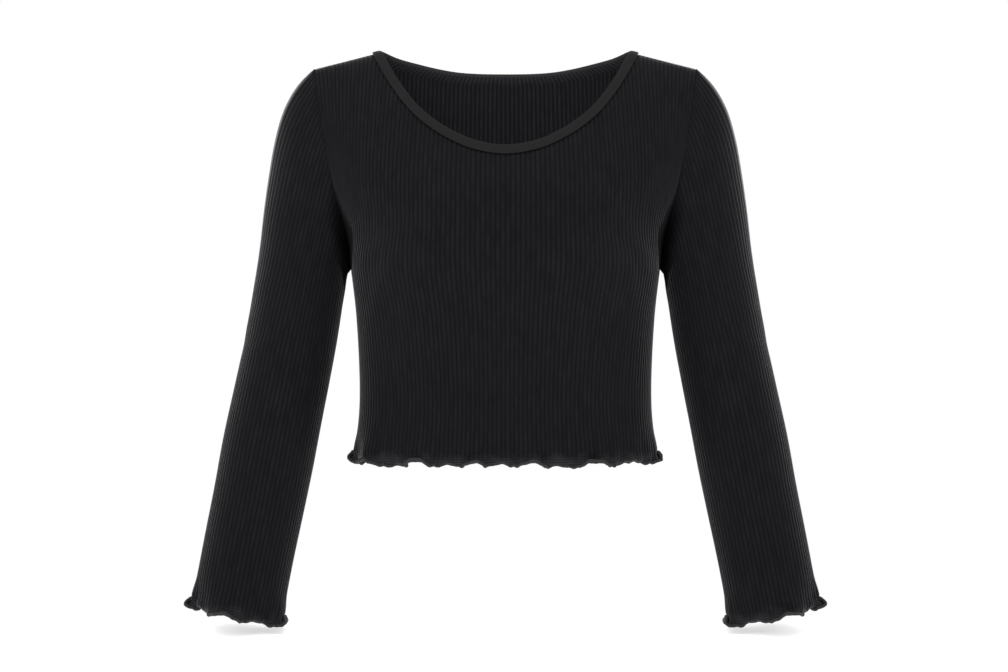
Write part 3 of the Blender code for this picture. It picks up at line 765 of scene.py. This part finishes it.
# ---------------------------- sleeves
# Two long sleeves in the same rib knit, their ribs running down the arm. Each is set into its armhole and
# closed by one seam under the arm, and its cuff is a lettuce edge like the hem.
Station = namedtuple("Station", "name outer outer_height inner inner_height centre_back half_depth")
STATIONS = (
    Station("armhole", 191.0, -17.5, 154.0, -218, -5, 51),
    Station("cap", 209.0, -32.5, 156.5, -221, -4, 50),
    Station("cap", 222.0, -54, 158.0, -225, -3, 49),
    Station("cap", 231.0, -86, 159.2, -231, -2, 48),
    Station("upper arm", 236.5, -120, 160.5, -240, -1, 47),
    Station("upper arm", 241.5, -158, 163.0, -254, -1, 46),
    Station("upper arm", 246.0, -200, 166.0, -274, -1, 45),
    Station("upper arm", 252.0, -240, 170.0, -299, -2, 45),
    Station("elbow", 259.5, -285, 176.0, -332, -4, 44),
    Station("elbow", 269.3, -332, 184.0, -374, -8, 43),
    Station("forearm", 280.3, -384, 192.2, -419, -14, 41),
    Station("forearm", 288.7, -433, 200.7, -461, -20, 39),
    Station("forearm", 298.0, -483, 210.2, -507, -27, 37),
    Station("cuff", 308.2, -540, 219.7, -558, -34, 35),
)
CAP_STATIONS = 6
SLEEVE_RIBS = 66
SLEEVE_ROWS = 48
SLEEVE_WIDTH = 290.0  # laid flat
SEAM_SAMPLES = 240

# Round the cuffs from the underarm seam by the front.
LEFT_CUFF_LOBES = (
    Lobe(0, 330, 15),
    Lobe(39, -105, 15),
    Lobe(73, 145, 16),
    Lobe(103, -105, 15),
    Lobe(126, 350, 14),
    Lobe(151, -110, 15),
    Lobe(183, 150, 16),
    Lobe(216, -100, 16),
    Lobe(252, 330, 15),
)
RIGHT_CUFF_LOBES = (
    Lobe(0, 330, 15),
    Lobe(40, -100, 15),
    Lobe(71, 150, 16),
    Lobe(104, -110, 15),
    Lobe(126, 350, 14),
    Lobe(148, -105, 15),
    Lobe(176, 140, 16),
    Lobe(213, -110, 16),
    Lobe(252, 330, 15),
)

SLEEVE_CREASES = (
    Crease(112, 268, 70, 8, 0.9, 58),
    Crease(104, 300, 60, 7, 0.7, 66),
    Crease(42, 250, 56, 8, 0.8, -56),
    Crease(50, 282, 48, 7, 0.6, -64),
    Crease(222, 276, 60, 8, 0.9, 62),
    Crease(34, 440, 70, 9, 0.8, -34),
    Crease(258, 436, 64, 9, 0.8, 36),
)


def armhole(shares):
    """The armhole's outline: 0 at the underarm, 0.5 at the shoulder seam, and round the back to 1."""
    front_half = column(1.0, -1, [], np.clip(2 * shares, 0, 1))
    back_half = column(1.0, 1, [], np.clip(2 * (1 - shares), 0, 1))
    return np.where((shares <= 0.5)[:, None], front_half, back_half)


def station_rings(stations):
    """The stations' outer points, inner points and half depths at places between them."""
    sizes = np.array([station[1:] for station in STATIONS], float)
    lines = []
    for point, height in ((0, 1), (2, 3)):
        line, _ = smooth_curve(np.column_stack([sizes[:, point], sizes[:, 4], sizes[:, height]]))
        at = stations * CURVE_SAMPLES
        lines.append(np.stack([np.interp(at, np.arange(len(line)), line[:, k]) for k in range(3)], axis=-1))
    return lines[0], lines[1], np.interp(stations, np.arange(len(sizes)), sizes[:, 5])


def sleeve_surface(shares, stations):
    """Points of the left sleeve's cloth. shares run round it from the underarm by the front."""
    turn = 2 * np.pi * shares[:, None, None]
    outer, inner, depth = station_rings(stations)
    rings = (outer + inner) / 2 + (inner - outer) / 2 * np.cos(turn)
    rings[..., 1] -= depth * np.sin(turn[..., 0])
    keep = np.maximum(0, 1 - stations / CAP_STATIONS) ** 2
    start_outer, start_inner, start_depth = station_rings(np.array([0.0]))
    start = (start_outer + start_inner) / 2 + (start_inner - start_outer) / 2 * np.cos(turn)
    start[..., 1] -= start_depth * np.sin(turn[..., 0])
    return rings + keep[None, :, None] * (armhole(shares)[:, None] - start)


# The cap is cut as a bell-shaped curve across the ribs, so that they run straight up the arm and meet the
# armhole seam aslant, and squarely only at the shoulder and the underarm.
CAP_HEIGHT = 150.0
CAP_HALF_WIDTH = 145.0
CAP_END = 8  # the station below which the ribs simply follow the arm
CAP_ROWS = 40
CAP_ROW_GROWTH = 1.4  # rows lie closer towards the seam
CAP_GRID = (193, 65)  # round the arm and along it, to lay the ribs on
RIB_PATH_POINTS = 33
TIGHTENING_PASSES = 14


def armhole_share(shares):
    """Where on the armhole each rib ends: equal steps across the cap are unequal ones along its curve."""
    across = np.linspace(0, 1, SECTION_SAMPLES)
    height = CAP_HEIGHT * across**2 * (3 - 2 * across)
    curve = np.stack([across * CAP_HALF_WIDTH, height, 0 * across], axis=1)
    length = arc_length(curve) / arc_length(curve)[-1] / 2
    half = np.interp(np.minimum(shares, 1 - shares) * 2, across, length)
    return np.where(shares <= 0.5, half, 1 - half)


def cap_ribs(shares):
    """The ribs on the cap, from its end up to the armhole seam: each the straightest way over the cloth,
    as a rib lies in cloth that was cut flat."""
    fine_shares, fine_stations = np.linspace(0, 1, CAP_GRID[0]), np.linspace(0, CAP_END, CAP_GRID[1])
    surface = sleeve_surface(fine_shares, fine_stations)
    corners = surface.reshape(-1, 3)
    rows = len(fine_stations)
    faces = [
        (i * rows + k, (i + 1) * rows + k, (i + 1) * rows + k + 1, i * rows + k + 1)
        for i in range(len(fine_shares) - 1)
        for k in range(rows - 1)
    ]
    tree = BVHTree.FromPolygons([Vector(corner) for corner in corners], faces)
    tops = armhole(armhole_share(shares))
    ribs = []
    for share, top in zip(shares, tops):
        ends = [Vector(sleeve_surface(np.array([share]), np.array([float(CAP_END)]))[0, 0]), Vector(top)]
        middle_share = np.array([(share + armhole_share(np.array([share]))[0]) / 2])
        rib = [ends[0], Vector(sleeve_surface(middle_share, np.array([CAP_END / 2]))[0, 0]), ends[1]]
        while len(rib) < RIB_PATH_POINTS:
            finer = [rib[0]]
            for before, after in zip(rib, rib[1:]):
                finer += [(before + after) / 2, after]
            rib = finer
            for _ in range(TIGHTENING_PASSES):
                for k in range(1, len(rib) - 1):
                    rib[k] = tree.find_nearest((rib[k - 1] + rib[k + 1]) / 2)[0]
        ribs.append(along(np.array(rib), 1 - np.linspace(1, 0, CAP_ROWS + 1) ** CAP_ROW_GROWTH))
    return np.array(ribs)


def sleeve_form(count):
    """Points of the left sleeve's cloth in columns that follow the ribs, from the cuff to the armhole."""
    shares = np.linspace(0, 1, count)
    stations = np.linspace(len(STATIONS) - 1, CAP_END, SLEEVE_ROWS + 1)
    arm = sleeve_surface(shares, stations)
    rib_shares = np.linspace(0, 1, SLEEVE_RIBS + 1)
    ribs = cap_ribs(rib_shares)
    cap = np.stack(
        [
            np.stack([np.interp(shares, rib_shares, ribs[:, row, k]) for k in range(3)], axis=1)
            for row in range(1, CAP_ROWS + 1)
        ],
        axis=1,
    )
    cap[:, -1] = armhole(armhole_share(shares))
    return shares, np.concatenate([arm, cap], axis=1)


def sleeve(name, side, creases, lobes):
    count = SLEEVE_RIBS * RIB_POINTS + 1
    shares, form = sleeve_form(count)
    up = arc_length(form, axis=1)
    from_cap = up[:, -1:] - up
    flat_x = shares[:, None] * SLEEVE_WIDTH + 0 * up
    cuff_line = arc_length(form[:, 0])
    curl, sway, drop = lobe_curl(cuff_line / cuff_line[-1], lobes)
    form = form + surface_normals(form, True) * gathers(curl, up)[..., None]
    normal = surface_normals(form, True)
    relief = rib_relief(count)[:, None] + creases_at(flat_x, up, creases)
    under = np.minimum(shares, 1 - shares)[:, None] * SLEEVE_WIDTH + 0 * up
    # The ribs meet the seam aslant, so the way to it is shorter than the distance along them.
    seam = armhole(np.linspace(0, 1, SEAM_SAMPLES))
    from_cap = np.minimum(from_cap, np.min(np.linalg.norm(form[:, :, None] - seam, axis=3), axis=2))
    near_seam = np.minimum(under, from_cap)
    relief = relief * (1 - np.exp(-((near_seam / RIB_END) ** 2))) + edge_roll(under)
    points = form + normal * relief[..., None] + sunk_armhole(form, from_cap, SLEEVE_HOLLOW_WIDTH)
    # Painted shade beside the armhole seam, darkest in the hollow under the arm.
    unfaded = np.zeros((count, FRILL_ROWS + form.shape[1]))
    unfaded[:, FRILL_ROWS:] = shade(form, from_cap, SLEEVE_SHADE, 1)
    way = np.gradient(form[:, 0], axis=0)
    way[0] = way[-1] = form[1, 0] - form[-2, 0]
    edge, edge_up = lettuce_edge(form, way, curl, sway, drop, True)
    points = np.concatenate([edge, points], axis=1)
    ribs = np.arange(count)[:, None] / RIB_POINTS
    uv = np.stack([ribs + 0 * points[..., 0], np.concatenate([edge_up, up], axis=1)], axis=2)
    if side < 0:
        points, uv, unfaded = points[::-1] * (-1, 1, 1), uv[::-1], unfaded[::-1]
    piece = laid_grid(name, points, uv, RIB_KNITS, unfaded=unfaded)
    return piece, np.column_stack([points[:, 0], curl])


cuff_edges = {}
for name, side, lobes in (("sleeve_left", 1, LEFT_CUFF_LOBES), ("sleeve_right", -1, RIGHT_CUFF_LOBES)):
    piece, cuff_edges[name] = sleeve(name + "_cloth", side, SLEEVE_CREASES, lobes)
    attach(piece, "root")
    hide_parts(name)


# ---------------------------- overlocked edges
# Hem and cuffs are overlocked with a narrow stitch in soft textured thread. It wraps the raw edge in a
# rounded cord of slanting turns, and pulls it long, which is what makes the cloth curl.
THREAD_RADIUS = 1.45
TURN_PITCH = 2.0  # drawn wider than the real 1.2 so that it shows
TURN_HEIGHT = 0.28
STEPS_PER_TURN = 5
CORD_SIDES = 8
BUNCHING = 2.1  # times its thickness, added in the balls
BUNCHING_FROM = 4.0  # radians of curl
BUNCHING_RANGE = 2.5
THREAD_DARK = "#0f0f10"
THREAD_LIGHT = "#2e2e30"
THREAD_SHEEN = "#9a9a9c"
HAIRS = 1400.0  # to the metre, about 0.7 mm apart


def thread_material():
    """Textured polyester thread, dyed black: hairy and matt, a little greyer than the cloth."""
    material, tree, shader = blank_material("black overlock thread")
    uv = add(tree, "UVMap", uv_map="knit")[0]
    length, round_it, _ = add(tree, "SeparateXYZ", {0: uv})
    slant = add(tree, "Math", {0: round_it, 1: 0.35, 2: length}, operation="MULTIPLY_ADD")[0]
    turns = add(tree, "Math", {0: slant, 1: TURN_PITCH}, operation="DIVIDE")[0]
    turn = add(tree, "Math", {0: turns, 1: 0.5}, operation="PINGPONG")[0]
    position = add(tree, "TexCoord")["Object"]
    fuzz = add(tree, "TexNoise", {0: position, "Scale": HAIRS, "Detail": 2.0})[0]
    hairs = add(tree, "Math", {0: fuzz, 1: 0.4}, operation="MULTIPLY")[0]
    tone = add(tree, "Math", {0: turn, 1: 1.2, 2: hairs}, operation="MULTIPLY_ADD")[0]
    dyes = {0: tone, 6: linear(THREAD_DARK), 7: linear(THREAD_LIGHT)}
    colour = add(tree, "Mix", dyes, data_type="RGBA")[2]
    bump = add(tree, "Bump", {"Height": fuzz, "Distance": 0.1 * MM, "Strength": 0.7})[0]
    give(shader, {"Base Color": colour, "Normal": bump, "Roughness": 0.7, "Specular IOR Level": 0.2})
    give(shader, {"Sheen Weight": 0.15, "Sheen Roughness": 0.4, "Sheen Tint": linear(THREAD_SHEEN)})
    return material


overlock_thread = thread_material()


def overlocked_edge(name, edge):
    """A cord of thread turns right round a closed edge."""
    edge = np.vstack([edge, edge[:1]])
    length = arc_length(edge[:, :3])
    places = np.linspace(0, length[-1], round(length[-1] / TURN_PITCH) * STEPS_PER_TURN + 1)
    line = along(edge[:, :3], places / length[-1])
    # Where the edge curls into a ball the thread is bunched.
    curl = np.interp(places, length, edge[:, 3])
    bunched = 1 + BUNCHING * np.clip((curl - BUNCHING_FROM) / BUNCHING_RANGE, 0, 1)
    way = np.roll(line[:-1], -1, axis=0) - np.roll(line[:-1], 1, axis=0)
    way = unit(np.vstack([way, way[:1]]))
    side = unit(np.cross(way, (0, 0, 1)))
    top = np.cross(side, way)
    around = np.linspace(0, 2 * np.pi, CORD_SIDES + 1)
    slant = places[:, None] / TURN_PITCH + around[None] / (2 * np.pi)
    radius = (THREAD_RADIUS + TURN_HEIGHT * (np.abs(np.sin(np.pi * slant)) - 0.6)) * bunched[:, None]
    offset = side[:, None] * np.cos(around)[:, None] + top[:, None] * np.sin(around)[:, None]
    points = line[:, None] + offset * radius[..., None]
    uv = np.stack([places[:, None] + 0 * radius, THREAD_RADIUS * around[None] + 0 * radius], axis=2)
    return laid_grid(name, points, uv, (overlock_thread,), None)


hem_edge = np.vstack([front_edge[:-1], back_edge[:-1]])
for name, edge in (
    ("hem_overlock", hem_edge),
    ("cuff_overlock_left", cuff_edges["sleeve_left"][:-1]),
    ("cuff_overlock_right", cuff_edges["sleeve_right"][:-1]),
):
    cord = overlocked_edge(name, edge)
    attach(cord, "root")


# ---------------------------- neck binding
# One narrow strip of plain jersey folded over the neck edge and sewn through, smooth beside the ribs. It
# stands a little proud of them.
BindingPoint = namedtuple("BindingPoint", "down out")
BINDING_SECTION = (
    BindingPoint(0.90, 0.55),
    BindingPoint(0.93, 1.00),
    BindingPoint(0.87, 1.45),
    BindingPoint(0.70, 1.75),
    BindingPoint(0.45, 1.85),
    BindingPoint(0.20, 1.70),
    BindingPoint(0.03, 1.25),
    BindingPoint(-0.05, 0.65),
    BindingPoint(-0.07, 0.00),
    BindingPoint(-0.05, -0.65),
    BindingPoint(0.03, -1.35),
    BindingPoint(0.20, -1.75),
    BindingPoint(0.45, -1.85),
    BindingPoint(0.66, -1.70),
    BindingPoint(0.78, -1.40),
    BindingPoint(0.80, -1.00),
)
BINDING_STEPS = 60
BINDING_WALL = 0.7
JERSEY_DARK = "#121213"
JERSEY_LIGHT = "#1c1c1d"
# painted paler on the neck's inside, as painted light
JERSEY_INSIDE_PAINTED_LIGHT = "#313133"
JERSEY_SHEEN = "#8e8e92"
JERSEY_FIBRES = 1100.0  # to the metre, about 0.9 mm apart


def plain_jersey_material():
    """Plain cotton jersey, dyed black: matt and even, a little paler than ribs with their dark grooves."""
    material, tree, shader = blank_material("black plain jersey")
    position = add(tree, "TexCoord")["Object"]
    fuzz = add(tree, "TexNoise", {0: position, "Scale": JERSEY_FIBRES, "Detail": 3.0})[0]
    dyes = {0: fuzz, 6: linear(JERSEY_DARK), 7: linear(JERSEY_LIGHT)}
    outside = add(tree, "Mix", dyes, data_type="RGBA")[2]
    # Past the fold, on the neck's inside, the jersey is painted paler to stand in for light.
    uv = add(tree, "UVMap", uv_map="knit")[0]
    _, round_it, _ = add(tree, "SeparateXYZ", {0: uv})
    past_fold = add(tree, "MapRange", {0: round_it, 1: 7.5, 2: 10.0})[0]
    both_sides = {0: past_fold, 6: outside, 7: linear(JERSEY_INSIDE_PAINTED_LIGHT)}
    colour = add(tree, "Mix", both_sides, data_type="RGBA")[2]
    bump = add(tree, "Bump", {"Height": fuzz, "Distance": 0.2 * MM, "Strength": 0.9})[0]
    give(shader, {"Base Color": colour, "Normal": bump, "Roughness": 0.78, "Specular IOR Level": 0.1})
    give(shader, {"Sheen Weight": 0.1, "Sheen Roughness": 0.3, "Sheen Tint": linear(JERSEY_SHEEN)})
    return material


plain_jersey = plain_jersey_material()


def half_neck(facing):
    shares = np.linspace(0, NECK_SHARE, BINDING_STEPS)
    low = np.array([column(u, facing, [], [1.0])[-1] for u in shares])
    top = np.array([neckline_point(u, facing) for u in shares])
    return low, top


def whole_neck():
    """Lower edge and neckline from the wearer's right shoulder by the front and the back to it again."""
    flip = np.array([-1, 1, 1])
    (front_low, front_top), (back_low, back_top) = half_neck(-1), half_neck(1)
    loops = []
    for ahead, behind in ((front_low, back_low), (front_top, back_top)):
        loops.append(np.vstack([ahead[::-1] * flip, ahead[1:], behind[-2::-1], behind[1:] * flip]))
    return loops


low, top = whole_neck()
low[-1], top[-1] = low[0], top[0]
way = np.gradient(top, axis=0)
way[0] = way[-1] = top[1] - top[-2]
up_cloth = top - low
out = unit(np.cross(way, up_cloth))
section = np.stack(
    [low + up_cloth * (1 - point.down) + out * point.out for point in BINDING_SECTION], axis=1
)
uv = np.stack(np.broadcast_arrays(arc_length(top)[:, None], np.arange(section.shape[1])), axis=2)
binding = laid_grid("neck_binding_strip", section, uv, (plain_jersey,), BINDING_WALL)
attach(binding, "root")
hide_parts("neck_binding")


# ---------------------------- floor and backdrop
# A plain white studio: white paper just below the cuffs, falling away a little to front and back, and white
# all round.
PAPER_BELOW = 0.001
PAPER_FALL = 0.13
PAPER_HALF_WIDTH = 6.0
PAPER_WHITE = "#f8f8f8"
PAPER_GLOW = 0.52  # light that reaches it from the rest of the studio
WHITE = (1, 1, 1, 1)
LIT_AT = (0, 0, -0.28)  # the middle of the garment

bm = bmesh.new()
bmesh.ops.create_grid(bm, x_segments=1, y_segments=2, size=PAPER_HALF_WIDTH)
for vert in bm.verts:
    vert.co.z = cad_box[0][2] - PAPER_BELOW - PAPER_FALL * abs(vert.co.y)
mesh = bpy.data.meshes.new("floor")
bm.to_mesh(mesh)
bm.free()
floor = bpy.data.objects.new("floor", mesh)
bpy.context.scene.collection.objects.link(floor)
paper, _, shader = blank_material("white paper")
give(shader, {"Base Color": linear(PAPER_WHITE), "Roughness": 0.9})
give(shader, {"Emission Color": WHITE, "Emission Strength": PAPER_GLOW})
mesh.materials.append(paper)

world = bpy.data.worlds.new("studio")
world.use_nodes = True
bpy.context.scene.world = world
give(world.node_tree.nodes["Background"], {"Color": WHITE, "Strength": 1.0})


def soft_light(name, place, size, power):
    data = bpy.data.lights.new(name, "AREA")
    data.shape = "DISK"
    data.size = size
    data.energy = power
    light = bpy.data.objects.new(name, data)
    light.location = place
    light.rotation_euler = (Vector(LIT_AT) - Vector(place)).to_track_quat("-Z", "Y").to_euler()
    bpy.context.scene.collection.objects.link(light)


soft_light("key", (-1.2, -2.2, 1.4), size=1.4, power=16.0)
soft_light("top", (0.2, -1.3, 1.5), size=1.0, power=14.0)
soft_light("edge left", (1.5, 0.5, -0.1), size=1.2, power=9.0)
soft_light("edge right", (-1.5, 0.5, -0.1), size=1.2, power=9.0)

bpy.context.scene.view_settings.view_transform = "Standard"
bpy.context.view_layer.update()
